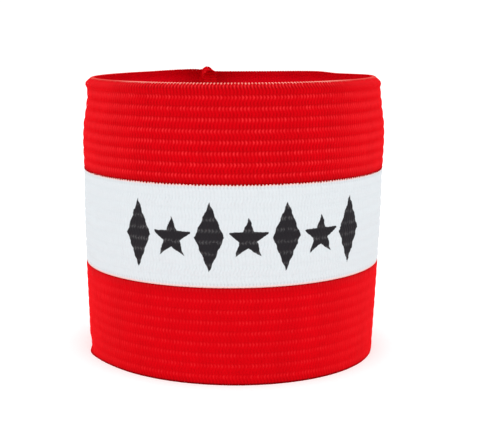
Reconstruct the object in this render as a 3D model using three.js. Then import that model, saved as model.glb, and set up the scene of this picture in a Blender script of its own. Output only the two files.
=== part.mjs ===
// Captain armband: a ribbed elastic band sewn to a loop, standing open on its lower edge.
// Millimetres, +Z up. The origin is the middle of the loop on the surface that it stands on.
// The seam is at +Y, and the print's place on the white stripe faces -Y.

import * as THREE from "three";

// Driving dimensions of the loop
const loopRadius = 41.2;
const lowerStripeHeight = 25.1;
const whiteStripeHeight = 25.6;
const upperStripeHeight = 24.3;
const wallThickness = 1.6;
const ribDepth = 0.16;
const stripeGap = 0.3;

// The two ends are turned in at the seam and sewn together face to face
const seamAllowance = 6.2;
const seamDip = 0.5;
const seamDipTurn = 24;
const knobHeight = 1.3;

// The loop stands a little skewed: one side is this much higher than the opposite side is low
const skewRise = 0.6;
const skewTurn = -103;

// The rim leans towards the higher side, and the lower edge has a wave at one place
const rimRoll = 0.4;
const hemWaveDepth = 0.45;
const hemWaveHeight = 4.5;

const ribsPerStripe = 9;
const segmentsRound = 34;

const red = 0xd8121c;
const white = 0xe6eaec;

// The loop's outside over its height: shares of the band's height and of loopRadius
const loopForm = [
  { height: 0, radius: 0.96 },
  { height: 0.08, radius: 0.965 },
  { height: 0.2, radius: 0.974 },
  { height: 0.35, radius: 0.984 },
  { height: 0.52, radius: 0.9926 },
  { height: 0.67, radius: 0.994 },
  { height: 0.76, radius: 1 },
  { height: 0.83, radius: 0.996 },
  { height: 0.9, radius: 0.978 },
  { height: 0.955, radius: 0.968 },
  { height: 0.98, radius: 0.974 },
  { height: 1, radius: 0.942 },
];

// Waves of the upper rim: degrees from the seam, anticlockwise seen from above, and shares of a rib's pitch
const rimWaves = [
  { turn: -180, rise: -0.04 },
  { turn: -100, rise: 0 },
  { turn: -67, rise: -0.1 },
  { turn: -54, rise: 0.04 },
  { turn: -25, rise: -0.05 },
  { turn: -5, rise: -0.04 },
  { turn: 0, rise: 0.08 },
  { turn: 5, rise: 0.22 },
  { turn: 12, rise: 0.2 },
  { turn: 30, rise: 0.05 },
  { turn: 70, rise: -0.03 },
  { turn: 180, rise: -0.04 },
];

// The wave of the lower edge: degrees from the seam, and shares of hemWaveDepth outwards
const hemWaves = [
  { turn: 64, out: 0 },
  { turn: 84, out: -1 },
  { turn: 98, out: 0.8 },
  { turn: 114, out: 0 },
];

// One half of the seam, from its middle outwards: asides and the notch as shares of wallThickness, the depth
// as a share of seamAllowance, the knob as a share of knobHeight. flank is 1 where the inner face is the side
// of the turned-in end, and 0 where it is the wall.
const seamSections = [
  { outerAside: 0, notch: 0.5, innerAside: 0, depth: 0.96, knob: 0.8, flank: 0 },
  { outerAside: 0.55, notch: 0.12, innerAside: 1, depth: 1, knob: 0.12, flank: 1 },
  { outerAside: 1.3, notch: 0, innerAside: 1.05, depth: 0.14, knob: 0, flank: 1 },
  { outerAside: 2.4, notch: 0, innerAside: 2.1, depth: 0, knob: 0, flank: 0 },
];

// Levels in one rib: shares of the rib's pitch, and of ribDepth by which the face lies below the crest
const outerRib = [
  { level: 0, sink: 1 },
  { level: 0.28, sink: 0 },
  { level: 0.72, sink: 0 },
];
const innerRib = [
  { level: 0, sink: 1 },
  { level: 0.5, sink: 0 },
];

const stripes = [
  { name: "lower_red_stripe", height: lowerStripeHeight, color: red },
  { name: "white_stripe", height: whiteStripeHeight, color: white },
  { name: "upper_red_stripe", height: upperStripeHeight, color: red },
];
const bandHeight = lowerStripeHeight + whiteStripeHeight + upperStripeHeight;
const upperBorder = lowerStripeHeight + whiteStripeHeight;
const upperRibPitch = upperStripeHeight / ribsPerStripe;

// Smooth curve through a table's rows, by cubic pieces that keep their slope from row to row
function readTable(rows, key, column, at) {
  const last = rows.length - 1;
  if (at <= rows[0][key]) return rows[0][column];
  if (at >= rows[last][key]) return rows[last][column];
  const i = rows.findIndex((row) => row[key] > at) - 1;
  const slope = (k) => {
    const before = rows[Math.max(k - 1, 0)];
    const after = rows[Math.min(k + 1, last)];
    return (after[column] - before[column]) / (after[key] - before[key]);
  };
  const span = rows[i + 1][key] - rows[i][key];
  const t = (at - rows[i][key]) / span;
  const fromRow = (2 * t ** 3 - 3 * t ** 2 + 1) * rows[i][column] + (t ** 3 - 2 * t ** 2 + t) * span * slope(i);
  const toRow = (3 * t ** 2 - 2 * t ** 3) * rows[i + 1][column] + (t ** 3 - t ** 2) * span * slope(i + 1);
  return fromRow + toRow;
}

const ease = (t) => THREE.MathUtils.smoothstep(t, 0, 1);

// Radius of the loop's crests at a height of the flat band and a turn from the seam in degrees
function crestRadius(height, turn) {
  const dip = seamDip * (1 - ease(Math.abs(turn) / seamDipTurn));
  const nearRim = ease((height - bandHeight) / (2 * upperRibPitch) + 1);
  const roll = rimRoll * Math.cos(THREE.MathUtils.degToRad(turn - skewTurn)) * nearRim;
  const hem = hemWaveDepth * readTable(hemWaves, "turn", "out", turn) * (1 - ease(height / hemWaveHeight));
  return loopRadius * readTable(loopForm, "height", "radius", height / bandHeight) - dip - roll + hem;
}

// Where a height of the flat band comes to lie, with the loop's skew, the rim's waves and the seam's knob
function standingHeight(height, turn, knob) {
  const skew = skewRise * Math.cos(THREE.MathUtils.degToRad(turn - skewTurn));
  const wave = upperRibPitch * readTable(rimWaves, "turn", "rise", turn);
  const inUpper = ease((height - upperBorder) / upperStripeHeight);
  const inTopRib = ease((height - bandHeight) / upperRibPitch + 1);
  return height + skew * ease(height / lowerStripeHeight) + wave * inUpper + knobHeight * knob * inTopRib;
}

// Stations round the loop, anticlockwise seen from above, starting in the middle of the seam
function loopStations() {
  const seamEdge = seamSections[seamSections.length - 1];
  const edgeTurn = THREE.MathUtils.radToDeg(Math.asin((seamEdge.outerAside * wallThickness) / loopRadius));
  const step = (360 - 2 * edgeTurn) / segmentsRound;
  const half = seamSections.map((section) => ({ ...section, side: -1 }));
  const otherHalf = seamSections.slice(1).reverse().map((section) => ({ ...section, side: 1 }));
  const plain = [];
  for (let k = 1; k < segmentsRound; k += 1) {
    const turn = edgeTurn + k * step;
    plain.push({ turn: turn > 180 ? turn - 360 : turn });
  }
  return [...half, ...plain, ...otherHalf];
}

// A point of the outer or inner face at one station, with the face's sink below its crest
function facePoint(station, height, sink, isInner) {
  if (station.side === undefined) {
    const radius = crestRadius(height, station.turn) - (isInner ? wallThickness - sink : sink);
    const angle = THREE.MathUtils.degToRad(90 + station.turn);
    const z = standingHeight(height, station.turn, 0);
    return new THREE.Vector3(radius * Math.cos(angle), radius * Math.sin(angle), z);
  }
  const aside = wallThickness * (isInner ? station.innerAside : station.outerAside);
  const turn = THREE.MathUtils.radToDeg(Math.asin(aside / loopRadius)) * -station.side;
  const inwards = isInner
    ? wallThickness + station.depth * seamAllowance - (1 - station.flank) * sink
    : station.notch * wallThickness + sink;
  const across = aside - (isInner ? station.flank * sink : 0);
  const y = Math.sqrt(crestRadius(height, turn) ** 2 - aside ** 2) - inwards;
  return new THREE.Vector3(station.side * across, y, standingHeight(height, turn, station.knob));
}

// Levels of one face of a stripe, from its lower border to its upper one
function stripeLevels(rib, lowest, highest, base, height) {
  const pitch = height / ribsPerStripe;
  const levels = [];
  for (let i = 0; i < ribsPerStripe; i += 1) {
    for (const row of rib) levels.push({ height: base + (i + row.level) * pitch, sink: row.sink * ribDepth });
  }
  levels.push({ height: highest, sink: rib[0].sink * ribDepth });
  levels[0].height = lowest;
  return levels;
}

// A stripe as one closed ring: outer face, inner face, and the two narrow faces along its borders
function stripeGeometry(base, height) {
  const top = base + height;
  const lowest = base > 0 ? base + stripeGap / 2 : base;
  const highest = top < bandHeight - stripeGap ? top - stripeGap / 2 : top;
  const outerLevels = stripeLevels(outerRib, lowest, highest, base, height);
  const innerLevels = stripeLevels(innerRib, lowest, highest, base, height);
  const stations = loopStations();
  const rowLength = outerLevels.length + innerLevels.length;

  const positions = [];
  for (const station of stations) {
    const outer = outerLevels.map((level) => facePoint(station, level.height, level.sink, false));
    const inner = innerLevels.map((level) => facePoint(station, level.height, level.sink, true));
    for (const point of [...outer, ...inner.reverse()]) positions.push(point.x, point.y, point.z - base);
  }

  const indices = [];
  for (let s = 0; s < stations.length; s += 1) {
    const here = s * rowLength;
    const next = ((s + 1) % stations.length) * rowLength;
    for (let i = 0; i < rowLength; i += 1) {
      const above = (i + 1) % rowLength;
      indices.push(here + i, next + i, next + above, here + i, next + above, here + above);
    }
  }

  const geometry = new THREE.BufferGeometry();
  geometry.setAttribute("position", new THREE.Float32BufferAttribute(positions, 3));
  geometry.setIndex(indices);
  geometry.computeVertexNormals();
  return geometry;
}

const group = new THREE.Group();
let base = 0;
for (const { name, height, color } of stripes) {
  const material = new THREE.MeshStandardMaterial({ color, roughness: 0.85, metalness: 0 });
  const mesh = new THREE.Mesh(stripeGeometry(base, height), material);
  mesh.name = name;
  mesh.position.z = base;
  group.add(mesh);
  base += height;
}

export default group;
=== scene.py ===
"""Captain armband: ribbed elastic, red with a white middle stripe, sewn to a loop and stood on its edge."""

import math

import bmesh
import bpy
import numpy as np
from mathutils import Euler, Matrix, Vector


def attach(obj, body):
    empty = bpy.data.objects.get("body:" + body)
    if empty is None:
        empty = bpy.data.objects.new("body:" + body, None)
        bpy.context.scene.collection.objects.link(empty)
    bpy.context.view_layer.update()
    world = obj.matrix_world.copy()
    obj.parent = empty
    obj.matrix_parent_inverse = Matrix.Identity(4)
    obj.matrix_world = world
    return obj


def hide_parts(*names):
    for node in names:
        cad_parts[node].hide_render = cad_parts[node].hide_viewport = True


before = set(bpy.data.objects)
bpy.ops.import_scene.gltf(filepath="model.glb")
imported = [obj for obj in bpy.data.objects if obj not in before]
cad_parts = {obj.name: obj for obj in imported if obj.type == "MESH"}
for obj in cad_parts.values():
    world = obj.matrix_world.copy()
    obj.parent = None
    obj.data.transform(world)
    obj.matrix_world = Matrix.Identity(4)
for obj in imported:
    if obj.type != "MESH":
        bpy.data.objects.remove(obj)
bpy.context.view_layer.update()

MM = 0.001

# Loop, with the same values as the solids
LOOP_RADIUS = 41.2 * MM
WALL = 1.6 * MM
RIB_DEPTH = 0.16 * MM
SEAM_ALLOWANCE = 6.2 * MM
SEAM_DIP = 0.5 * MM
SEAM_DIP_TURN = 24
KNOB_HEIGHT = 1.3 * MM
SKEW_RISE = 0.6 * MM
SKEW_TURN = -103
RIM_ROLL = 0.4 * MM
RIBS = 9

LOWER_HEIGHT = 25.1 * MM
WHITE_HEIGHT = 25.6 * MM
UPPER_HEIGHT = 24.3 * MM
BAND_HEIGHT = LOWER_HEIGHT + WHITE_HEIGHT + UPPER_HEIGHT
UPPER_BORDER = LOWER_HEIGHT + WHITE_HEIGHT
UPPER_RIB_PITCH = UPPER_HEIGHT / RIBS

# The loop's outside over its height, as shares of the band's height and of LOOP_RADIUS
LOOP_FORM = [
    {"height": 0, "radius": 0.96},
    {"height": 0.08, "radius": 0.965},
    {"height": 0.2, "radius": 0.974},
    {"height": 0.35, "radius": 0.984},
    {"height": 0.52, "radius": 0.9926},
    {"height": 0.67, "radius": 0.994},
    {"height": 0.76, "radius": 1},
    {"height": 0.83, "radius": 0.996},
    {"height": 0.9, "radius": 0.978},
    {"height": 0.955, "radius": 0.968},
    {"height": 0.98, "radius": 0.974},
    {"height": 1, "radius": 0.942},
]

# Waves of the upper rim, as degrees from the seam and shares of a rib's pitch
RIM_WAVES = [
    {"turn": -180, "rise": -0.04},
    {"turn": -100, "rise": 0},
    {"turn": -67, "rise": -0.1},
    {"turn": -54, "rise": 0.04},
    {"turn": -25, "rise": -0.05},
    {"turn": -5, "rise": -0.04},
    {"turn": 0, "rise": 0.08},
    {"turn": 5, "rise": 0.22},
    {"turn": 12, "rise": 0.2},
    {"turn": 30, "rise": 0.05},
    {"turn": 70, "rise": -0.03},
    {"turn": 180, "rise": -0.04},
]

# A wave of the lower edge at one side: degrees from the seam, and shares of HEM_WAVE_DEPTH outwards
HEM_WAVE_DEPTH = 0.45 * MM
HEM_WAVE_HEIGHT = 4.5 * MM
HEM_WAVES = [
    {"turn": 64, "out": 0},
    {"turn": 84, "out": -1},
    {"turn": 98, "out": 0.8},
    {"turn": 114, "out": 0},
]

# The very edge turns out again in that wave
HEM_LIP = 0.65 * MM
HEM_LIP_HEIGHT = 0.9 * MM
HEM_LIP_TURN = 91
HEM_LIP_SPREAD = 13

# The band laid flat: X along it with the front's middle at 0, Z up across it, and its outside towards -Y
THREAD_PITCH = 0.865 * MM
SEAM_BEND = 1.2 * MM
SEAM_SLIT = 0.04 * MM
FIN_ASIDE = WALL / 2 + SEAM_SLIT / 2

# The knob on top of the turned-in ends: its reach to each side, and how far and by what share it falls off
# along the ends from its middle
KNOB_REACH = 1.9 * MM
KNOB_LENGTH = 5 * MM
KNOB_MIDDLE = 35.7 * MM
KNOB_FALL = 0.8

# The flat band's length in whole threads, by its middle line at the mean radius of the loop's form
MEAN_FORM = 0.985
MEAN_RADIUS = MEAN_FORM * LOOP_RADIUS - WALL / 2
WALL_LENGTH = MEAN_RADIUS * (math.pi - math.asin((FIN_ASIDE + SEAM_BEND) / (MEAN_RADIUS - SEAM_BEND)))
BEND_LENGTH = SEAM_BEND * math.pi / 2
FIN_LENGTH = SEAM_ALLOWANCE + WALL / 2 - SEAM_BEND
THREADS = round(2 * (WALL_LENGTH + BEND_LENGTH + FIN_LENGTH) / THREAD_PITCH)
BAND_LENGTH = THREADS * THREAD_PITCH

# Rows of one rib on its outer and inner face: shares of the rib's pitch, of RIB_DEPTH and of THREAD_DEPTH
THREAD_DEPTH = 0.18 * MM
OUTER_ROWS = [
    {"level": 0, "sink": 1, "thread": 0.35},
    {"level": 0.12, "sink": 0.72, "thread": 0.6},
    {"level": 0.32, "sink": 0.2, "thread": 0.7},
    {"level": 0.54, "sink": 0, "thread": 0.7},
    {"level": 0.76, "sink": 0.2, "thread": 0.95},
    {"level": 0.91, "sink": 0.68, "thread": 0.8},
]
INNER_ROWS = [
    {"level": 0, "sink": 1, "thread": 0.2},
    {"level": 0.5, "sink": 0, "thread": 0.6},
]
# Places across one thread, as shares of its pitch, and how far each lies below the thread's top
THREAD_COLUMNS = [
    {"place": -0.5, "sink": 1},
    {"place": -0.27, "sink": 0.22},
    {"place": 0, "sink": 0},
    {"place": 0.27, "sink": 0.22},
    {"place": 0.5, "sink": 1},
]
# How near to its place a corner of the tile's unit grid is found
GRID_NEAR = 1e-4

# Edges that bend less than this many degrees are shaded smooth
WEAVE_SMOOTH_BELOW = 80
BINDING_SMOOTH_BELOW = 60

# Camera, as fitted to the photograph's rims, borders and silhouette
PHOTO_WIDTH = 489
FOCAL_PIXELS = 1108
SENSOR_WIDTH = 36
CAMERA_DISTANCE = 305 * MM
CAMERA_HEIGHT = 88 * MM
CAMERA_TURN = -13.3
CAMERA_YAW = 0.61
CAMERA_PITCH = 9.45
CAMERA_ROLL = 0.82


def deselect():
    """Leaves object mode with nothing selected."""
    if bpy.context.object and bpy.context.object.mode != "OBJECT":
        bpy.ops.object.mode_set(mode="OBJECT")
    bpy.ops.object.select_all(action="DESELECT")


def pick(obj):
    """Makes obj the only selected object, and the active one."""
    deselect()
    obj.select_set(True)
    bpy.context.view_layer.objects.active = obj


def named(name):
    """The primitive just added, under its own name."""
    obj = bpy.context.object
    obj.name = name
    obj.data.name = name
    return obj


def choose(obj, test, part="verts"):
    """In edit mode, selects the vertices or edges of obj that pass the test."""
    mesh = bmesh.from_edit_mesh(obj.data)
    bpy.ops.mesh.select_all(action="DESELECT")
    for element in getattr(mesh, part):
        if test(element):
            element.select_set(True)
    mesh.select_flush_mode()
    bmesh.update_edit_mesh(obj.data)


def repeat(obj, count, step):
    """Arrays obj, each copy joined to the one before it, and applies the array."""
    pick(obj)
    array = obj.modifiers.new("repeat", "ARRAY")
    array.count = count
    array.use_relative_offset = False
    array.use_constant_offset = True
    array.constant_offset_displace = step
    array.use_merge_vertices = True
    array.merge_threshold = 0.002 * MM
    bpy.ops.object.modifier_apply(modifier=array.name)


def points_of(obj):
    """The vertices of obj as an array, one row each."""
    points = np.zeros(len(obj.data.vertices) * 3)
    obj.data.vertices.foreach_get("co", points)
    return points.reshape(-1, 3)


def set_points(obj, points):
    """Moves the vertices of obj."""
    obj.data.vertices.foreach_set("co", np.ascontiguousarray(points).ravel())
    obj.data.update()


def read_table(rows, key, column, at):
    """A smooth curve through a table's rows, the same as in the solids."""
    places = np.array([row[key] for row in rows], float)
    values = np.array([row[column] for row in rows], float)
    before = np.concatenate([[0], np.arange(len(rows) - 1)])
    after = np.concatenate([np.arange(1, len(rows)), [len(rows) - 1]])
    slopes = (values[after] - values[before]) / (places[after] - places[before])
    at = np.clip(at, places[0], places[-1])
    i = np.clip(np.searchsorted(places, at, side="right") - 1, 0, len(rows) - 2)
    span = places[i + 1] - places[i]
    t = (at - places[i]) / span
    from_row = (2 * t**3 - 3 * t**2 + 1) * values[i] + (t**3 - 2 * t**2 + t) * span * slopes[i]
    to_row = (3 * t**2 - 2 * t**3) * values[i + 1] + (t**3 - t**2) * span * slopes[i + 1]
    return from_row + to_row


def ease(t):
    """Smooth step from 0 to 1."""
    t = np.clip(t, 0, 1)
    return t * t * (3 - 2 * t)


def near_rim(height, ribs):
    """0 below the rim's last ribs, rising to 1 at the rim."""
    return ease((height - BAND_HEIGHT) / (ribs * UPPER_RIB_PITCH) + 1)


def knob_share(x, y):
    """1 on the middle of the turned-in ends' top, falling to 0 beside them."""
    across = 1 - ease(np.abs(x) / KNOB_REACH)
    inwards = 1 - KNOB_FALL * ease(np.abs(y - KNOB_MIDDLE) / KNOB_LENGTH)
    return np.where(y > 0, across * inwards, 0)


def crest_radius(height, turn):
    """Radius of the loop's crests at a height of the flat band and a turn from the seam in degrees."""
    dip = SEAM_DIP * (1 - ease(np.abs(turn) / SEAM_DIP_TURN))
    roll = RIM_ROLL * np.cos(np.radians(turn - SKEW_TURN)) * near_rim(height, 2)
    hem = HEM_WAVE_DEPTH * read_table(HEM_WAVES, "turn", "out", turn) * (1 - ease(height / HEM_WAVE_HEIGHT))
    at_lip = (1 - ease(np.abs(turn - HEM_LIP_TURN) / HEM_LIP_SPREAD)) * (1 - ease(height / HEM_LIP_HEIGHT))
    form = LOOP_RADIUS * read_table(LOOP_FORM, "height", "radius", height / BAND_HEIGHT)
    return form - dip - roll + hem + HEM_LIP * at_lip


def standing_height(height, turn, knob):
    """Where a height of the flat band comes to lie, with the skew, the rim's waves and the seam's knob."""
    skew = SKEW_RISE * np.cos(np.radians(turn - SKEW_TURN))
    wave = UPPER_RIB_PITCH * read_table(RIM_WAVES, "turn", "rise", turn)
    in_upper = ease((height - UPPER_BORDER) / UPPER_HEIGHT)
    peak = KNOB_HEIGHT * knob * near_rim(height, 1)
    return height + skew * ease(height / LOWER_HEIGHT) + wave * in_upper + peak


def wrap(flat):
    """Points of the flat band moved onto the standing loop, with both ends turned in at the seam."""
    side = np.where(flat[:, 0] < 0, -1.0, 1.0)
    along = np.abs(flat[:, 0])
    outwards = -flat[:, 1]
    height = flat[:, 2]

    about_turn = side * (np.clip(along / WALL_LENGTH, 0, 1) * 180 - 180)
    radius = crest_radius(height, about_turn) - WALL / 2
    centre_x = FIN_ASIDE + SEAM_BEND
    bend_starts = math.pi - np.arcsin(centre_x / (radius - SEAM_BEND))
    centre_y = np.sqrt((radius - SEAM_BEND) ** 2 - centre_x**2)

    angle = bend_starts * np.clip(along / WALL_LENGTH, 0, 1)
    bent = np.clip((along - WALL_LENGTH) / BEND_LENGTH, 0, 1)
    heading = bend_starts + bent * (1.5 * math.pi - bend_starts)
    in_wall = along <= WALL_LENGTH
    normal_x = np.where(in_wall, np.sin(angle), np.sin(heading))
    normal_y = np.where(in_wall, -np.cos(angle), -np.cos(heading))
    middle_x = np.where(in_wall, radius * np.sin(angle), centre_x + SEAM_BEND * normal_x)
    middle_y = np.where(in_wall, -radius * np.cos(angle), centre_y + SEAM_BEND * normal_y)
    middle_y = middle_y - np.maximum(along - WALL_LENGTH - BEND_LENGTH, 0)

    x = side * (middle_x + outwards * normal_x)
    y = middle_y + outwards * normal_y
    turn = np.degrees(np.arctan2(y, x)) - 90
    turn = np.where(turn < -180, turn + 360, turn)
    return np.stack([x, y, standing_height(height, turn, knob_share(x, y))], axis=1)


def is_at(co, x, z):
    """Whether a corner of the tile's unit grid lies at x and z."""
    return abs(co.x - x) < GRID_NEAR and abs(co.z - z) < GRID_NEAR


def weave_tile(name, rows, rib_pitch, relief, outwards):
    """One thread's crossing of one rib, as a small relief in the XZ plane at the band's left end."""
    deselect()
    bpy.ops.mesh.primitive_grid_add(
        x_subdivisions=len(THREAD_COLUMNS) - 1,
        y_subdivisions=len(rows),
        size=1,
        location=(0, 0, 0),
        rotation=(math.pi / 2, 0, 0),
    )
    tile = named(name)
    bpy.ops.object.transform_apply(location=True, rotation=True, scale=True)
    bpy.ops.object.mode_set(mode="EDIT")
    steps = len(rows)
    all_rows = [*rows, {**rows[0], "level": 1}]
    for c, column in enumerate(THREAD_COLUMNS):
        for r, row in enumerate(all_rows):
            start_x = -0.5 + c / (len(THREAD_COLUMNS) - 1)
            start_z = -0.5 + r / steps
            choose(tile, lambda v: is_at(v.co, start_x, start_z) and not v.hide)
            sink = row["sink"] * RIB_DEPTH + row["thread"] * column["sink"] * THREAD_DEPTH
            depth = WALL / 2 - relief * sink
            bpy.ops.transform.translate(value=(
                column["place"] * THREAD_PITCH - start_x,
                -depth if outwards else depth,
                row["level"] * rib_pitch - start_z,
            ))
            bpy.ops.mesh.hide(unselected=False)
    bpy.ops.mesh.reveal(select=False)
    bpy.ops.object.mode_set(mode="OBJECT")
    return tile


def weave_face(name, rows, height, relief, outwards):
    """One face of a flat stripe: the tile, repeated along the band and up its ribs."""
    rib_pitch = height / RIBS
    face = weave_tile(name, rows, rib_pitch, relief, outwards)
    repeat(face, RIBS, (0, 0, rib_pitch))
    repeat(face, THREADS, (THREAD_PITCH, 0, 0))
    return face


def pick_border(obj, test):
    """Selects the open edges of a flat stripe whose ends pass the test."""
    choose(obj, lambda e: e.is_boundary and all(test(v.co) for v in e.verts), "edges")


def stripe(name, node, base, height, relief):
    """A stripe of woven elastic: two faces joined to a closed strip, then stood up as the loop."""
    outer = weave_face(name, OUTER_ROWS, height, relief, True)
    inner = weave_face("back", INNER_ROWS, height, relief, False)
    outer_count = len(outer.data.vertices)
    pick(outer)
    inner.select_set(True)
    bpy.ops.object.join()

    bpy.ops.object.mode_set(mode="EDIT")
    bpy.ops.mesh.select_mode(type="EDGE")
    near = 0.01 * MM
    left = -THREAD_PITCH / 2
    right = left + BAND_LENGTH
    pick_border(outer, lambda co: co.z < near)
    bpy.ops.mesh.bridge_edge_loops()
    pick_border(outer, lambda co: co.z > height - near)
    bpy.ops.mesh.bridge_edge_loops()
    pick_border(outer, lambda co: co.x < left + near)
    bpy.ops.mesh.fill()
    pick_border(outer, lambda co: co.x > right - near)
    bpy.ops.mesh.fill()
    bpy.ops.mesh.select_all(action="SELECT")
    bpy.ops.mesh.normals_make_consistent(inside=False)
    bpy.ops.mesh.select_mode(type="VERT")
    bpy.ops.object.mode_set(mode="OBJECT")
    bpy.ops.object.shade_smooth_by_angle(angle=math.radians(WEAVE_SMOOTH_BELOW))

    flat = points_of(outer)
    flat[:, 0] += THREAD_PITCH / 2 - BAND_LENGTH / 2
    flat[:, 2] += base
    loose = loosened(flat, base, height / RIBS)
    add_map(outer, "weave", flat[:, 0] / THREAD_PITCH + THREADS / 2, (flat[:, 2] - base) * RIBS / height)
    add_map(outer, "cloth", loose[:, 0] / MM, (loose[:, 2] - base) / MM)
    mark(outer, "outside", np.arange(len(flat)) < outer_count)
    set_points(outer, wrap(loose))

    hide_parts(node)
    return outer


def add_map(obj, name, across, up):
    """A UV map from two values for each vertex."""
    corners = np.zeros(len(obj.data.loops), np.int32)
    obj.data.loops.foreach_get("vertex_index", corners)
    layer = obj.data.uv_layers.new(name=name)
    layer.data.foreach_set("uv", np.stack([across[corners], up[corners]], axis=1).ravel())


def mark(obj, name, values):
    """An attribute with one value for each vertex."""
    attribute = obj.data.attributes.new(name, "FLOAT", "POINT")
    attribute.data.foreach_set("value", np.ascontiguousarray(values, float))


# How far each rib's threads lean and wander, as shares of the thread's pitch, and how far they lift
LEANS = [0.3, -0.34, 0.22, -0.28, 0.36, -0.2, 0.3, -0.32, 0.24]
WANDER = 0.05
THREAD_LIFT = 0.03 * MM
WEAVE_SEED = 7
# The last threads at each end of the band stay straight
STRAIGHT_THREADS = 4
# A point that falls short of a rib's or thread's border by less than this share of it lies on the border
RIB_SLACK = 1e-6
THREAD_SLACK = 1e-4


def loosened(flat, base, rib_pitch):
    """The flat weave with each rib's threads swung sideways, and each thread a little uneven."""
    draws = np.random.default_rng(WEAVE_SEED + round(base / MM))
    up = (flat[:, 2] - base) / rib_pitch
    rib = np.clip(np.floor(up + RIB_SLACK), 0, RIBS - 1).astype(int)
    level = up - rib
    along = flat[:, 0] / THREAD_PITCH + THREADS / 2
    thread = np.floor(along + THREAD_SLACK).astype(int) % THREADS
    phase = np.cos(math.pi * (along - thread - 0.5)) ** 2
    crossing = np.sin(math.pi * level)
    in_wall = ease((BAND_LENGTH / 2 - np.abs(flat[:, 0])) / (STRAIGHT_THREADS * THREAD_PITCH))
    swing = np.array(LEANS)[rib] * np.sin(2 * math.pi * level) * in_wall
    wander = WANDER * draws.standard_normal((RIBS, THREADS))[rib, thread] * crossing * phase
    lift = THREAD_LIFT * draws.standard_normal((RIBS, THREADS))[rib, thread] * crossing * phase
    loose = flat.copy()
    loose[:, 0] += (swing + wander) * THREAD_PITCH
    loose[:, 1] += np.sign(flat[:, 1]) * lift
    return loose


def math_node(tree, operation, *values, clamp=False):
    """A Math node on sockets or numbers, and its result's socket."""
    node = tree.nodes.new("ShaderNodeMath")
    node.operation = operation
    node.use_clamp = clamp
    for socket, value in zip(node.inputs, values):
        if isinstance(value, bpy.types.NodeSocket):
            tree.links.new(value, socket)
        else:
            socket.default_value = value
    return node.outputs[0]


def mixed(tree, share, first, second):
    """Mixes two colours, each a socket or a tuple, by a share."""
    node = tree.nodes.new("ShaderNodeMix")
    node.data_type = "RGBA"
    for socket, value in zip((node.inputs[0], node.inputs[6], node.inputs[7]), (share, first, second)):
        if isinstance(value, bpy.types.NodeSocket):
            tree.links.new(value, socket)
        else:
            socket.default_value = value
    return node.outputs[2]


def new_material(name, roughness, sheen, tint, specular):
    """A material with its plain surface values set on the shader's own sockets."""
    material = bpy.data.materials.new(name)
    material.use_nodes = True
    shader = material.node_tree.nodes["Principled BSDF"]
    shader.inputs["Roughness"].default_value = roughness
    shader.inputs["Sheen Weight"].default_value = sheen
    shader.inputs["Sheen Roughness"].default_value = 0.45
    shader.inputs["Sheen Tint"].default_value = tint
    shader.inputs["Specular IOR Level"].default_value = specular
    return material, material.node_tree, shader


def map_coordinates(tree, name):
    """A UV map's vector and its two values."""
    node = tree.nodes.new("ShaderNodeUVMap")
    node.uv_map = name
    split = tree.nodes.new("ShaderNodeSeparateXYZ")
    tree.links.new(node.outputs[0], split.inputs[0])
    return node.outputs[0], split.outputs[0], split.outputs[1]


def marked(tree, name):
    """The value of a mesh attribute."""
    node = tree.nodes.new("ShaderNodeAttribute")
    node.attribute_name = name
    return node.outputs["Fac"]


def noise(tree, vector, scale, detail=2.0, roughness=0.5):
    """A Noise texture's value on the given coordinates."""
    node = tree.nodes.new("ShaderNodeTexNoise")
    tree.links.new(vector, node.inputs["Vector"])
    node.inputs["Scale"].default_value = scale
    node.inputs["Detail"].default_value = detail
    node.inputs["Roughness"].default_value = roughness
    return node.outputs["Fac"]


def chance(tree, along, up):
    """A random value from 0 to 1 for each thread in each rib."""
    cell = tree.nodes.new("ShaderNodeCombineXYZ")
    tree.links.new(math_node(tree, "FLOOR", along), cell.inputs[0])
    tree.links.new(math_node(tree, "FLOOR", up), cell.inputs[1])
    node = tree.nodes.new("ShaderNodeTexWhiteNoise")
    tree.links.new(cell.outputs[0], node.inputs["Vector"])
    return node.outputs["Value"]


def window(tree, value, middle, reach):
    """1 where value is at the middle, falling to 0 at the reach on each side."""
    away = math_node(tree, "ABSOLUTE", math_node(tree, "SUBTRACT", value, middle))
    return math_node(tree, "MULTIPLY_ADD", away, -1 / reach, 1.0, clamp=True)


def product(tree, *factors):
    """The product of several values."""
    result = factors[0]
    for factor in factors[1:]:
        result = math_node(tree, "MULTIPLY", result, factor)
    return result


# Painted highlight on a rib's shoulder, painted shade in its hollow and groove: middle and reach as shares
# of its pitch. The shoulder and hollow are measured up from its lower border, the groove from the nearest
# one
SHOULDER = (0.8, 0.26)
HOLLOW = (0.2, 0.34)
GROOVE = (0.0, 0.16)
GROOVE_SHADE = 0.7

# How strongly a thread's painted light and shade are laid on: by THREAD_LEAST, and by up to THREAD_SPREAD
# more
THREAD_LEAST = 0.35
THREAD_SPREAD = 0.9


def weave_marks(tree):
    """Where the weave gets painted highlight, at the threads' shoulders, and painted shade, between threads
    low on a rib.
    """
    vector, along, up = map_coordinates(tree, "weave")
    top = math_node(tree, "MULTIPLY", math_node(tree, "PINGPONG", along, 0.5), 2.0)
    gap = math_node(tree, "SUBTRACT", 1.0, top)
    level = math_node(tree, "FRACT", up)
    uneven = math_node(tree, "MULTIPLY_ADD", chance(tree, along, up), THREAD_SPREAD, THREAD_LEAST)
    light = product(tree, window(tree, level, *SHOULDER), top, top, uneven)
    shadow = product(tree, window(tree, level, *HOLLOW), gap, uneven)
    groove = window(tree, math_node(tree, "PINGPONG", up, 0.5), *GROOVE)
    in_groove = math_node(tree, "MULTIPLY", groove, GROOVE_SHADE)
    return {
        "vector": vector,
        "along": along,
        "up": up,
        "level": level,
        "gap": gap,
        "light": light,
        "dark": math_node(tree, "MAXIMUM", shadow, in_groove, clamp=True),
        "border": math_node(tree, "PINGPONG", up, RIBS / 2),
    }


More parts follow.
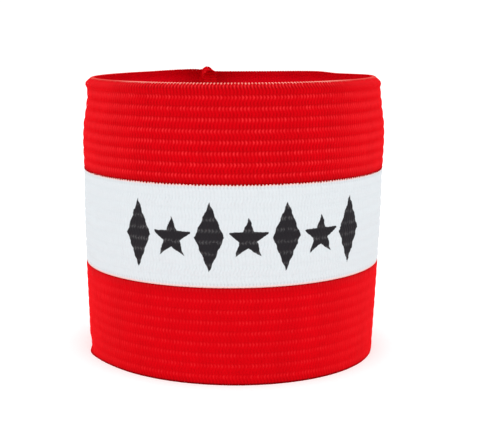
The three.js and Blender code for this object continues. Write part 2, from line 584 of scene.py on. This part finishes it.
def add_bump(tree, shader, height, strength, distance):
    """Bump on the shader's normal, from the value of a height."""
    bump = tree.nodes.new("ShaderNodeBump")
    bump.inputs["Strength"].default_value = strength
    bump.inputs["Distance"].default_value = distance
    tree.links.new(height, bump.inputs["Height"])
    tree.links.new(bump.outputs[0], shader.inputs["Normal"])


# The yarn's twist and loose fibres: turns to a rib and to a thread, the twist's share, and their depth
YARN_TURNS_PER_RIB = 9.0
YARN_SLANT = 3.0
YARN_TWIST = 0.3
YARN_DEPTH = 0.05 * MM
FIBRE_SCALE = 9.0


def add_yarn_bump(tree, shader, weave, strength):
    """The twist of the yarn and its loose fibres, finer than the modelled threads."""
    turns = math_node(tree, "MULTIPLY", weave["up"], YARN_TURNS_PER_RIB)
    slant = math_node(tree, "MULTIPLY_ADD", weave["along"], YARN_SLANT, turns)
    twist = math_node(tree, "SINE", math_node(tree, "MULTIPLY", slant, math.tau))
    fibres = noise(tree, weave["vector"], FIBRE_SCALE, detail=4.0, roughness=0.7)
    height = math_node(tree, "MULTIPLY_ADD", twist, YARN_TWIST, fibres)
    add_bump(tree, shader, height, strength, YARN_DEPTH)


RED = (0.65, 0.0, 0.004, 1)
# Painted highlight on the red threads' shoulders and on the ribs at the band's sides
RED_LIGHT = (0.82, 0.025, 0.032, 1)
# Both the red's uneven tone and painted shade
RED_DARK = (0.3, 0.0, 0.001, 1)
# Painted shade along the red's free edge and at the white border
RED_DEEP = (0.17, 0.0, 0.001, 1)
# The loop's inside, painted lighter than its shade
RED_INNER_PAINTED_LIGHT = (0.84, 0.0, 0.01, 1)
# Painted highlight on the rim thread's outer turns
RED_RIM_HIGHLIGHT = (1.0, 0.42, 0.34, 1)
RED_SHEEN = (1.0, 0.006, 0.012, 1)
WHITE = (0.65, 0.687, 0.712, 1)
# Painted shade in the white weave's hollows and between its threads
WHITE_DARK = (0.5, 0.52, 0.54, 1)
WHITE_BORDER = (0.88, 0.54, 0.5, 1)
PURE_WHITE = (1, 1, 1, 1)
INK = (0.019, 0.017, 0.02, 1)
INK_WORN = (0.08, 0.077, 0.08, 1)

# The painted highlights and shades of the red threads show on the band's front and back. At its two sides
# they lose SIDE_LOSS of that, and inside only INNER_CLEAR of it is left
FRONT_MIDDLE = -9.2 * MM
FRONT_REACH = 24 * MM
FRONT_FADE = 14 * MM
BACK_START = 84 * MM
SIDE_LOSS = 0.55
INNER_CLEAR = 0.2

# At the sides each red rib has a soft painted highlight instead: middle and reach as shares of its pitch
SIDE_HIGHLIGHT = (0.62, 0.42)
SIDE_HIGHLIGHT_SHARE = 0.32

# The red is darker in wide patches, and has a painted shadow on the inside beside the seam
PATCH_SCALE = 0.12
PATCH_SHADE = 0.5
PATCH_START = 0.14
SEAM_SHADOW_MIDDLE = 2 * MM
SEAM_SHADOW_REACH = 11 * MM
SEAM_SHADOW_SHADE = 0.5

# How dark the painted shade on the red is between its threads, and low on its ribs
GAP_SHADE = 0.22
HOLLOW_SHADE = 0.6

# Painted shade at the red's free edge, dark ticks and a dark line: distance from the edge, and reach, in
# ribs
EDGE_TICKS = (0.35, 0.35)
EDGE_LINE = (0.0, 0.24)

# Painted shade where red meets white, a soft shadow and a dark line: distance from border, and reach, in
# ribs
BORDER_SHADOW = (0.0, 0.8)
BORDER_SHADOW_SHADE = 0.5
BORDER_LINE = (0.0, 0.12)
BORDER_LINE_SHADE = 0.9


def side_share(tree, along):
    """0 on the band's front and back, and 1 at its two sides."""
    from_front = math_node(tree, "ABSOLUTE", math_node(tree, "SUBTRACT", along, FRONT_MIDDLE / MM))
    rise = MM / FRONT_FADE
    past_front = math_node(tree, "MULTIPLY_ADD", from_front, rise, -FRONT_REACH / FRONT_FADE, clamp=True)
    before_back = math_node(tree, "MULTIPLY_ADD", from_front, -rise, BACK_START / FRONT_FADE, clamp=True)
    return math_node(tree, "MULTIPLY", past_front, before_back)


def red_ground(tree, vector, along, inner):
    """Patchy red under the painted marks, with painted light inside and painted shadow beside the seam."""
    patches = noise(tree, vector, PATCH_SCALE, detail=3.0)
    shade = math_node(tree, "MULTIPLY_ADD", patches, PATCH_SHADE, -PATCH_START, clamp=True)
    colour = mixed(tree, shade, RED, RED_DARK)
    colour = mixed(tree, inner, colour, RED_INNER_PAINTED_LIGHT)
    from_seam = math_node(tree, "SUBTRACT", WALL_LENGTH / MM, math_node(tree, "ABSOLUTE", along))
    near_seam = window(tree, from_seam, SEAM_SHADOW_MIDDLE / MM, SEAM_SHADOW_REACH / MM)
    return mixed(tree, product(tree, near_seam, inner, SEAM_SHADOW_SHADE), colour, RED_DARK)


def shade_free_edge(tree, colour, weave, clear, edge_level, edge_shade):
    """Painted shade on the red: dark ticks between threads near its free edge, and a dark line on it."""
    to_edge = math_node(tree, "ABSOLUTE", math_node(tree, "SUBTRACT", weave["up"], edge_level))
    ticks = product(tree, window(tree, to_edge, *EDGE_TICKS), weave["gap"], clear)
    colour = mixed(tree, ticks, colour, RED_DARK)
    line = math_node(tree, "MULTIPLY", window(tree, to_edge, *EDGE_LINE), edge_shade, clamp=True)
    return mixed(tree, line, colour, RED_DEEP)


def shade_white_border(tree, colour, weave, border_level):
    """The red with a painted soft shadow and a painted dark line of shade where it meets the white stripe.
    """
    to_white = math_node(tree, "ABSOLUTE", math_node(tree, "SUBTRACT", weave["up"], border_level))
    shadow = math_node(tree, "MULTIPLY", window(tree, to_white, *BORDER_SHADOW), BORDER_SHADOW_SHADE)
    colour = mixed(tree, shadow, colour, RED_DARK)
    line = math_node(tree, "MULTIPLY", window(tree, to_white, *BORDER_LINE), BORDER_LINE_SHADE)
    return mixed(tree, line, colour, RED_DEEP)


def elastic_red(name, relief, border_level, edge_shade):
    """Red polyester weave: painted highlight where a thread goes over a rib's shoulder, painted shade
    between threads below.

    relief says how strongly its threads' painted highlights and shades show, border_level is the rib level
    of the edge that meets the white stripe, and edge_shade is how dark the painted shade on its free edge
    is.
    """
    material, tree, shader = new_material(name, roughness=0.8, sheen=1.0, tint=RED_SHEEN, specular=0.03)
    weave = weave_marks(tree)
    along = map_coordinates(tree, "cloth")[1]
    outside = marked(tree, "outside")
    inner = math_node(tree, "SUBTRACT", 1.0, outside)
    aside = side_share(tree, along)
    clear = math_node(tree, "MULTIPLY_ADD", aside, -SIDE_LOSS * relief, relief)
    clear = product(tree, clear, math_node(tree, "MULTIPLY_ADD", outside, 1 - INNER_CLEAR, INNER_CLEAR))

    colour = red_ground(tree, weave["vector"], along, inner)
    colour = mixed(tree, product(tree, weave["gap"], clear, GAP_SHADE), colour, RED_DARK)
    colour = mixed(tree, product(tree, weave["dark"], clear, HOLLOW_SHADE), colour, RED_DARK)
    colour = mixed(tree, product(tree, weave["light"], clear), colour, RED_LIGHT)
    side_highlight = product(tree, window(tree, weave["level"], *SIDE_HIGHLIGHT), aside, outside, SIDE_HIGHLIGHT_SHARE * relief)
    colour = mixed(tree, side_highlight, colour, RED_LIGHT)
    colour = shade_free_edge(tree, colour, weave, clear, RIBS - border_level, edge_shade)
    colour = shade_white_border(tree, colour, weave, border_level)
    tree.links.new(colour, shader.inputs["Base Color"])
    add_yarn_bump(tree, shader, weave, strength=0.25)
    return material


# Unevenness and twist of the sewing and edge thread, with scales for coordinates in metres
UNEVEN_SCALE = 900.0
UNEVEN_SHADE = 0.3
TWIST_SCALE = 1400.0
TWIST_STRENGTH = 0.4
TWIST_DEPTH = 0.03 * MM


def thread_red(name, colour, highlight_colour):
    """Red sewing or edge thread, twisted and a little uneven, its second colour a painted highlight outside.
    """
    material, tree, shader = new_material(name, roughness=0.7, sheen=0.4, tint=RED_SHEEN, specular=0.03)
    place = tree.nodes.new("ShaderNodeTexCoord").outputs["Object"]
    whole = mixed(tree, marked(tree, "outside"), colour, highlight_colour)
    uneven = math_node(tree, "MULTIPLY", noise(tree, place, UNEVEN_SCALE), UNEVEN_SHADE)
    tree.links.new(mixed(tree, uneven, whole, RED_DARK), shader.inputs["Base Color"])
    wave = tree.nodes.new("ShaderNodeTexWave")
    wave.bands_direction = "DIAGONAL"
    wave.inputs["Scale"].default_value = TWIST_SCALE
    tree.links.new(place, wave.inputs["Vector"])
    add_bump(tree, shader, wave.outputs["Fac"], TWIST_STRENGTH, TWIST_DEPTH)
    return material


# The print: a row of tall lozenges with a star between each two, in black ink
PRINT_ARC = 66 * MM
PRINT_MIDDLE = -5.4 * MM
PRINT_HEIGHT = 17.4 * MM
PRINT_LIFT = -0.2 * MM
DEVICES = 7
LOZENGE_HALF_WIDTH = 3.6 * MM
STAR_RADIUS = 5.4 * MM
STAR_WAIST = 0.42
STAR_DROP = 0.4 * MM
# The print follows the ribs sideways by PRINT_DRIFT, and its edge is ragged and a little soft
PRINT_DRIFT = 0.1 * MM
EDGE_RAGGED = 0.35 * MM
EDGE_WIDTH = 0.12 * MM
RAGGED_SCALE = 1.1


def lozenge_distance(tree, wide, tall):
    """Distance in millimetres outside a tall lozenge, from the distances to its two axes."""
    half_width = LOZENGE_HALF_WIDTH / MM
    half_height = PRINT_HEIGHT / 2 / MM
    slope = math.hypot(1 / half_width, 1 / half_height)
    tall_share = math_node(tree, "DIVIDE", tall, half_height)
    share = math_node(tree, "MULTIPLY_ADD", wide, 1 / half_width, tall_share)
    return math_node(tree, "DIVIDE", math_node(tree, "SUBTRACT", share, 1.0), slope)


def star_distance(tree, aside, up):
    """Distance in millimetres outside a five-pointed star that stands on two points."""
    half_sector = math.pi / 5
    tip = STAR_RADIUS / MM
    edge_x = tip * (STAR_WAIST * math.cos(half_sector) - 1)
    edge_y = tip * STAR_WAIST * math.sin(half_sector)
    edge = math.hypot(edge_x, edge_y)
    folded = math_node(tree, "PINGPONG", math_node(tree, "ARCTAN2", aside, up), half_sector)
    squares = math_node(tree, "MULTIPLY_ADD", aside, aside, math_node(tree, "MULTIPLY", up, up))
    far = math_node(tree, "SQRT", squares)
    fold_x = math_node(tree, "MULTIPLY", far, math_node(tree, "COSINE", folded))
    fold_y = math_node(tree, "MULTIPLY", far, math_node(tree, "SINE", folded))
    past_tip = math_node(tree, "MULTIPLY", math_node(tree, "SUBTRACT", fold_x, tip), edge_y / edge)
    return math_node(tree, "MULTIPLY_ADD", fold_y, -edge_x / edge, past_tip)


def print_mask(tree):
    """1 on the printed devices and 0 beside them, on the outside only."""
    vector, along, up = map_coordinates(tree, "cloth")
    pitch = PRINT_ARC / DEVICES / MM
    ribs_up = math_node(tree, "MULTIPLY", up, math.tau * RIBS * MM / WHITE_HEIGHT)
    drift = math_node(tree, "MULTIPLY", math_node(tree, "SINE", ribs_up), PRINT_DRIFT / MM)
    x = math_node(tree, "SUBTRACT", math_node(tree, "ADD", along, drift), PRINT_MIDDLE / MM)
    y = math_node(tree, "SUBTRACT", up, (WHITE_HEIGHT / 2 + PRINT_LIFT) / MM)
    number = math_node(tree, "ROUND", math_node(tree, "DIVIDE", x, pitch))
    aside = math_node(tree, "MULTIPLY_ADD", number, -pitch, x)
    lozenge = lozenge_distance(tree, math_node(tree, "ABSOLUTE", aside), math_node(tree, "ABSOLUTE", y))
    star = star_distance(tree, aside, math_node(tree, "ADD", y, STAR_DROP / MM))
    odd = math_node(tree, "PINGPONG", number, 1.0)
    chosen = math_node(tree, "MULTIPLY_ADD", math_node(tree, "SUBTRACT", lozenge, star), odd, star)
    ragged = math_node(tree, "SUBTRACT", noise(tree, vector, RAGGED_SCALE, detail=1.0), 0.5)
    distance = math_node(tree, "MULTIPLY_ADD", ragged, EDGE_RAGGED / MM, chosen)
    inside = math_node(tree, "MULTIPLY_ADD", distance, -MM / EDGE_WIDTH, 0.5, clamp=True)
    in_row = math_node(tree, "LESS_THAN", math_node(tree, "ABSOLUTE", x), DEVICES * pitch / 2)
    return product(tree, inside, in_row, marked(tree, "outside"))


# Places in the white stripe, as a distance and a reach in ribs: grey dots of painted shade between threads
# and a reddish tinge along its two borders, and the worn ink along each groove
DOTS = (0.3, 0.16)
DOTS_SHADE = 0.5
TINGE = (0.05, 0.17)
WORN = (0.0, 0.24)
WORN_SPECKS = 1.7
WHITE_HOLLOW_SHADE = 0.12


def elastic_white():
    """White polyester weave, shade painted in its hollows, with the black print worn a little in each
    groove.
    """
    material, tree, shader = new_material(
        "elastic_white",
        roughness=0.8,
        sheen=0.05,
        tint=PURE_WHITE,
        specular=0.05,
    )
    weave = weave_marks(tree)
    dots = product(tree, window(tree, weave["border"], *DOTS), weave["gap"])
    dots = math_node(tree, "MULTIPLY", dots, DOTS_SHADE)
    grey = math_node(tree, "MULTIPLY_ADD", weave["dark"], WHITE_HOLLOW_SHADE, dots, clamp=True)
    cloth = mixed(tree, grey, WHITE, WHITE_DARK)
    cloth = mixed(tree, window(tree, weave["border"], *TINGE), cloth, WHITE_BORDER)
    uneven = chance(tree, weave["along"], weave["up"])
    worn = window(tree, math_node(tree, "PINGPONG", weave["up"], 0.5), *WORN)
    specks = product(tree, worn, weave["gap"], uneven, WORN_SPECKS)
    ink = mixed(tree, specks, INK, INK_WORN)
    tree.links.new(mixed(tree, print_mask(tree), cloth, ink), shader.inputs["Base Color"])
    add_yarn_bump(tree, shader, weave, strength=0.2)
    return material


def dress(obj, material):
    """Gives obj its one material, and makes it ride on the part's body."""
    obj.data.materials.clear()
    obj.data.materials.append(material)
    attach(obj, "root")


def bead(name, segments, ring_count, place, size):
    """A round bead on the flat band, with size as its three half-lengths."""
    deselect()
    bpy.ops.mesh.primitive_uv_sphere_add(
        segments=segments,
        ring_count=ring_count,
        radius=1,
        location=place,
        scale=size,
    )
    obj = named(name)
    bpy.ops.object.transform_apply(location=True, rotation=True, scale=True)
    return obj


def repeat_along(obj):
    """Copies a thread's detail, modelled at the flat band's left end, to every thread."""
    repeat(obj, THREADS, (THREAD_PITCH, 0, 0))


def shift_each(points, draws, axis, spread):
    """Shifts each thread's copy of a detail along one axis, by a random length of its own."""
    thread = np.repeat(np.arange(THREADS), len(points) // THREADS)
    points[:, axis] += spread * draws.standard_normal(THREADS)[thread]


def turn_outwards(obj):
    """Makes all faces of a closed mesh point outwards."""
    pick(obj)
    bpy.ops.object.mode_set(mode="EDIT")
    bpy.ops.mesh.select_all(action="SELECT")
    bpy.ops.mesh.normals_make_consistent(inside=False)
    bpy.ops.object.mode_set(mode="OBJECT")


# The threads' turns over the band's two edges: half-lengths, unevenness, and heights of their two rows
EDGE_TURN = (0.31 * MM, 0.74 * MM, 0.32 * MM)
TURN_DRIFT_ALONG = 0.015 * MM
TURN_DRIFT_ACROSS = 0.02 * MM
TURN_SEED = 5
RIM_TURNS_DROP = 0.14 * MM
HEM_TURNS_HEIGHT = 0.34 * MM
# A painted highlight lies on their outer side, to a little past the wall's middle, less at the band's sides
TURN_HIGHLIGHT_TO = 0.2 * MM
TURN_HIGHLIGHT_SIDE_LOSS = 0.8


def edge_turns(name, height):
    """The threads' turns over an edge: one long bead for each thread, across the band's wall."""
    first = (THREAD_PITCH / 2 - BAND_LENGTH / 2, 0, height)
    turns = bead(name, segments=10, ring_count=7, place=first, size=EDGE_TURN)
    repeat_along(turns)
    bpy.ops.object.shade_smooth()
    flat = points_of(turns)
    draws = np.random.default_rng(TURN_SEED)
    shift_each(flat, draws, 0, TURN_DRIFT_ALONG)
    shift_each(flat, draws, 1, TURN_DRIFT_ACROSS)
    # Where the painted highlight lies on the turns: their outer side, weaker at the band's two sides
    aside = ease((np.abs(flat[:, 0] - FRONT_MIDDLE) - FRONT_REACH) / FRONT_FADE)
    highlighted = (flat[:, 1] < TURN_HIGHLIGHT_TO) & (np.abs(flat[:, 0]) < WALL_LENGTH)
    mark(turns, "outside", highlighted * (1 - TURN_HIGHLIGHT_SIDE_LOSS * aside))
    set_points(turns, wrap(flat))
    return turns


# The red threads at the white stripe's upper border: half-lengths, sink as a share of RIB_DEPTH, unevenness
TOOTH = (0.3 * MM, 0.14 * MM, 0.26 * MM)
TOOTH_SINK = 0.8
TOOTH_DRIFT_UP = 0.05 * MM
TOOTH_DRIFT_ALONG = 0.04 * MM
TOOTH_SEED = 11


def border_teeth(name, height):
    """Threads of the red stripe that reach down between the white ones at their common border."""
    first = (-BAND_LENGTH / 2, -(WALL / 2 - TOOTH_SINK * RIB_DEPTH), height)
    teeth = bead(name, segments=8, ring_count=5, place=first, size=TOOTH)
    repeat_along(teeth)
    bpy.ops.object.shade_smooth()
    flat = points_of(teeth)
    draws = np.random.default_rng(TOOTH_SEED)
    shift_each(flat, draws, 2, TOOTH_DRIFT_UP)
    shift_each(flat, draws, 0, TOOTH_DRIFT_ALONG)
    set_points(teeth, wrap(flat))
    return teeth


# The stitches through the turned-in ends, with SEWING_THREAD as half the thread's width
SEWING_THREAD = 0.17 * MM
STITCH_LENGTH = 2.3 * MM
STITCH_PITCH = 2.8 * MM
STITCH_INSET = 1.3 * MM


def seam_stitches(name):
    """The row of stitches that holds the two turned-in ends together, on both sides of them."""
    first = (WALL_LENGTH + BEND_LENGTH + STITCH_INSET, WALL / 2, STITCH_PITCH / 2)
    size = (SEWING_THREAD, SEWING_THREAD, STITCH_LENGTH / 2)
    right = bead(name, segments=8, ring_count=8, place=first, size=size)
    repeat(right, int(BAND_HEIGHT / STITCH_PITCH), (0, 0, STITCH_PITCH))
    bpy.ops.object.duplicate()
    left = bpy.context.object
    set_points(left, points_of(left) * (-1, 1, 1))
    turn_outwards(left)
    right.select_set(True)
    bpy.context.view_layer.objects.active = right
    bpy.ops.object.join()
    bpy.ops.object.shade_smooth()
    set_points(right, wrap(points_of(right)))
    turn_outwards(right)
    return right


# The thread that binds the raw edge, with OVERCAST_THREAD as half its width and OVERCAST_DEPTH as its reach
# from the edge along the turned-in ends
OVERCAST_THREAD = 0.35 * MM
OVERCAST_PITCH = 0.72 * MM
OVERCAST_DEPTH = 2.2 * MM
# Shares of the ring's radius: where it is cut open, where its bow begins, and how far the bow stands out
OVERCAST_CUT = 0.2
OVERCAST_BOW = -0.1
OVERCAST_BULGE = 0.12
# The slant of each turn, as a share of OVERCAST_PITCH
OVERCAST_SLANT = 0.35


def overcast(name):
    """The threads that bind the raw edge of the two turned-in ends, each going round from side to side."""
    deselect()
    reach = WALL + SEAM_SLIT / 2 + 0.5 * SEWING_THREAD
    bpy.ops.mesh.primitive_torus_add(
        major_radius=reach,
        minor_radius=OVERCAST_THREAD,
        major_segments=24,
        minor_segments=6,
        location=(0, 0, 0),
    )
    binding = named(name)
    bpy.ops.object.mode_set(mode="EDIT")
    bpy.ops.mesh.select_all(action="SELECT")
    cut = OVERCAST_CUT * reach
    bow = OVERCAST_BOW * reach
    bpy.ops.mesh.bisect(plane_co=(0, cut, 0), plane_no=(0, 1, 0), use_fill=True, clear_outer=True)
    choose(binding, lambda v: v.co.y > bow)
    bpy.ops.transform.translate(value=(0, OVERCAST_DEPTH - cut, OVERCAST_SLANT * OVERCAST_PITCH))
    choose(binding, lambda v: v.co.y < bow)
    bpy.ops.transform.resize(value=(1, OVERCAST_BULGE, 1), center_override=(0, 0, 0))
    bpy.ops.object.mode_set(mode="OBJECT")
    repeat(binding, int(BAND_HEIGHT / OVERCAST_PITCH) - 1, (0, 0, OVERCAST_PITCH))
    bpy.ops.object.shade_smooth_by_angle(angle=math.radians(BINDING_SMOOTH_BELOW))
    points = points_of(binding)
    points[:, 2] += OVERCAST_PITCH
    tip = crest_radius(points[:, 2], np.zeros(len(points))) - WALL / 2 - SEAM_BEND - FIN_LENGTH
    points[:, 1] += tip
    knob = knob_share(points[:, 0], points[:, 1])
    points[:, 2] = standing_height(points[:, 2], np.zeros(len(points)), knob)
    set_points(binding, points)
    turn_outwards(binding)
    return binding


FLOOR_COLOUR = (0.97, 0.97, 0.97, 1)
FLOOR_GLOW = 0.16
TENT_STRENGTH = 1.03


def stage_floor():
    """A wide plain floor, lit a little from below like a photographer's light table."""
    deselect()
    bpy.ops.mesh.primitive_circle_add(vertices=96, radius=6, fill_type="NGON", location=(0, 0, 0))
    floor = named("floor")
    material, _, shader = new_material(
        "pale_floor",
        roughness=0.9,
        sheen=0.0,
        tint=PURE_WHITE,
        specular=0.0,
    )
    shader.inputs["Base Color"].default_value = FLOOR_COLOUR
    shader.inputs["Emission Color"].default_value = PURE_WHITE
    shader.inputs["Emission Strength"].default_value = FLOOR_GLOW
    floor.data.materials.append(material)


def soft_light(name, turn, height, distance, size, power):
    """An area light that looks at the band's middle. turn is in degrees from the camera's side."""
    angle = math.radians(turn + CAMERA_TURN - 90)
    place = Vector((distance * math.cos(angle), distance * math.sin(angle), height))
    light = bpy.data.lights.new(name, "AREA")
    light.shape = "RECTANGLE"
    light.size = size[0]
    light.size_y = size[1]
    light.energy = power
    obj = bpy.data.objects.new(name, light)
    bpy.context.scene.collection.objects.link(obj)
    obj.location = place
    obj.rotation_euler = (Vector((0, 0, BAND_HEIGHT / 2)) - place).to_track_quat("-Z", "Y").to_euler()


def studio():
    """A white tent of light with a faint soft lamp at each side and a large one above the front."""
    world = bpy.data.worlds.new("tent")
    world.use_nodes = True
    background = world.node_tree.nodes["Background"]
    background.inputs["Color"].default_value = PURE_WHITE
    background.inputs["Strength"].default_value = TENT_STRENGTH
    bpy.context.scene.world = world
    for name, turn in (("left_lamp", -75), ("right_lamp", 75)):
        soft_light(name, turn, height=0.35, distance=0.9, size=(0.6, 0.9), power=0.15)
    soft_light("top_lamp", turn=0, height=1.1, distance=0.25, size=(1.1, 1.1), power=4.0)
    bpy.context.scene.view_settings.view_transform = "Standard"


def camera():
    """The photograph's camera: fitted place, heading, tilt and focal length."""
    data = bpy.data.cameras.new("camera")
    data.sensor_width = SENSOR_WIDTH
    data.lens = FOCAL_PIXELS / PHOTO_WIDTH * SENSOR_WIDTH
    data.clip_start = 10 * MM
    obj = bpy.data.objects.new("camera", data)
    bpy.context.scene.collection.objects.link(obj)
    angle = math.radians(CAMERA_TURN - 90)
    tilt = Euler((math.radians(90 - CAMERA_PITCH), 0, math.radians(CAMERA_TURN - CAMERA_YAW)))
    turned = tilt.to_matrix() @ Matrix.Rotation(math.radians(CAMERA_ROLL), 3, "Z")
    obj.rotation_euler = turned.to_euler()
    obj.location = (CAMERA_DISTANCE * math.cos(angle), CAMERA_DISTANCE * math.sin(angle), CAMERA_HEIGHT)
    bpy.context.scene.camera = obj


camera()
studio()
stage_floor()

close_red = elastic_red("close_red_elastic", relief=0.45, border_level=RIBS, edge_shade=1.7)
ribbed_red = elastic_red("ribbed_red_elastic", relief=1.0, border_level=0, edge_shade=0.2)
white = elastic_white()
edge_red = thread_red("edge_thread", RED, RED_RIM_HIGHLIGHT)
# A thread in painted shade, for the hem's turns and the teeth in the border's groove
shade_painted_red = thread_red("shaded_thread", RED_DARK, RED_DARK)
sewing_red = thread_red("sewing_thread", RED, RED)

# The lower stripe's ribs stand out less than those of the two above it
lower = stripe("lower_red_weave", "lower_red_stripe", base=0.0, height=LOWER_HEIGHT, relief=0.5)
dress(lower, close_red)
middle = stripe("white_weave", "white_stripe", base=LOWER_HEIGHT, height=WHITE_HEIGHT, relief=1.0)
dress(middle, white)
upper = stripe("upper_red_weave", "upper_red_stripe", base=UPPER_BORDER, height=UPPER_HEIGHT, relief=1.0)
dress(upper, ribbed_red)

dress(edge_turns("rim_turns", BAND_HEIGHT - RIM_TURNS_DROP), edge_red)
dress(edge_turns("hem_turns", HEM_TURNS_HEIGHT), shade_painted_red)
dress(border_teeth("border_teeth", UPPER_BORDER), shade_painted_red)
dress(seam_stitches("seam_stitches"), sewing_red)
dress(overcast("edge_overcast"), sewing_red)

deselect()
